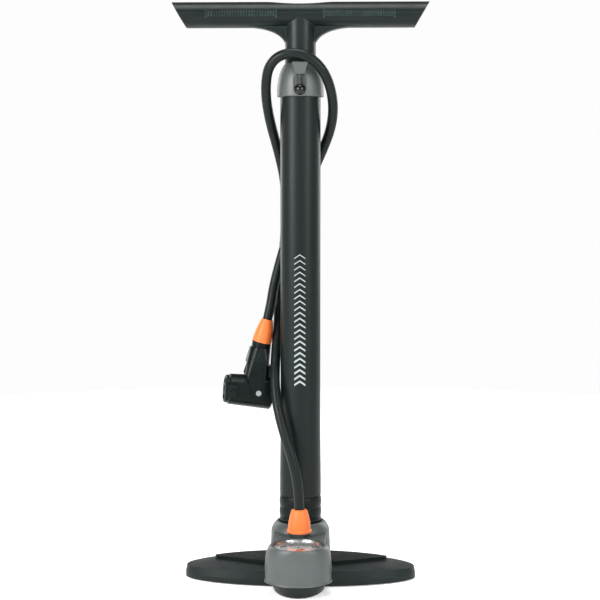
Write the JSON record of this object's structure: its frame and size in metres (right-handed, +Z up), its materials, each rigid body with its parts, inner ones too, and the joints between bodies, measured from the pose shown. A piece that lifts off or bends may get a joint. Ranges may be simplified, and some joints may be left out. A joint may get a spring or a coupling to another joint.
{
  "type": "floor bicycle pump",
  "caption": "Upright floor bike pump with T-handle, winged base, base pressure gauge, and a hose looped over a top hook to a lever valve head.",
  "frame": {"origin": "on the floor, on the barrel's axis, at the underside of the centre rubber foot", "axes": "+Z up along the barrel, +X to the right along the handle, -Y towards the gauge and the hose outlet"},
  "size_m": [0.283, 0.1581, 0.641],
  "materials": {
    "base_black": "satin",
    "pad_rubber": "matt",
    "foot_rubber": "matt",
    "housing_grey": "satin",
    "handle_black": "satin",
    "barrel_paint": "satin powder coat",
    "collar_black": "satin",
    "head_black": "semi-gloss",
    "orange_plastic": "satin",
    "hose_rubber": "satin",
    "steel": "brushed",
    "chrome_trim": "polished",
    "lens_clear": "clear",
    "dial_white": "printed",
    "needle_red": "gloss",
    "brass": "turned",
    "case_steel": "plated",
    "duct_plastic": "moulded",
    "stud_gloss": "gloss",
    "seal_rubber": "matt"
  },
  "bodies": {
    "pump_body": {"base": "base_black", "tread_pad_left": "pad_rubber", "tread_pad_right": "pad_rubber", "rubber_feet": "foot_rubber", "gauge_housing": "housing_grey", "cap": "housing_grey", "hose_hook": "housing_grey", "barrel": "barrel_paint", "barrel_collar": "collar_black", "head_body": "head_black", "gasket_nut": "head_black", "hose_boot": "orange_plastic", "head_collar": "orange_plastic", "hose": "hose_rubber", "base_screws": "steel", "lever_pin": "steel", "check_valve_spring": "steel", "gauge_bezel": "chrome_trim", "gauge_lens": "lens_clear", "gauge_dial": "dial_white", "gauge_stem": "brass", "bourdon_tube": "brass", "movement_plate": "brass", "outlet_barb": "brass", "gauge_case": "case_steel", "air_duct": "duct_plastic", "rod_bush": "duct_plastic", "hook_stud": "stud_gloss", "collar_seal": "seal_rubber", "rod_wiper": "seal_rubber", "top_bumper": "seal_rubber", "valve_gasket": "seal_rubber"},
    "piston": {"piston_body": "duct_plastic", "piston_cup": "seal_rubber", "piston_washer": "steel"},
    "handle": {"handle": "handle_black", "rod_insert": "brass", "piston_rod": "steel", "piston_nut": "steel"},
    "needle": {"gauge_needle": "needle_red", "needle_arbor": "brass"},
    "sector": {"gauge_sector": "brass"},
    "valve_disc": {"check_valve_disc": "seal_rubber"},
    "lever": {"head_lever": "head_black"},
    "plunger": {"head_plunger": "duct_plastic"}
  },
  "joints": [
    {"name": "handle_stroke", "type": "slide", "parent": "pump_body", "child": "piston", "axis": [0, 0, 1], "range_m": [0, 0.45]},
    {"name": "handle_turn", "type": "hinge", "parent": "piston", "child": "handle", "pos_m": [0, 0, 0.3], "axis": [0, 0, 1], "continuous": true},
    {"name": "needle_turn", "type": "hinge", "parent": "pump_body", "child": "needle", "pos_m": [0, -0.0755, 0.046], "axis": [0, 0, -1], "range_deg": [0, 270], "stiffness_Nm_per_rad": 0.0002, "springref_deg": -17.19},
    {"name": "sector_turn", "type": "hinge", "parent": "pump_body", "child": "sector", "pos_m": [-0.0152, -0.0755, 0.039], "axis": [0, 0, 1], "range_deg": [0, 32]},
    {"name": "check_valve", "type": "slide", "parent": "pump_body", "child": "valve_disc", "axis": [0, 0, -1], "range_m": [0, 0.002], "stiffness_N_per_m": 100, "springref_m": -0.002, "deforming": ["check_valve_spring"]},
    {"name": "lever_swing", "type": "hinge", "parent": "pump_body", "child": "lever", "pos_m": [-0.0501, 0.016, 0.2079], "axis": [0.1736, -0.9848, 0], "range_deg": [0, 30]},
    {"name": "plunger_slide", "type": "slide", "parent": "pump_body", "child": "plunger", "axis": [-0.9794, -0.1727, 0.1045], "range_m": [0, 0.0031]}
  ],
  "couplings": [
    {"joint": "sector_turn", "follows": "needle_turn", "ratio": 0.11852},
    {"joint": "plunger_slide", "follows": "lever_swing", "m_per_rad": 0.0057}
  ]
}
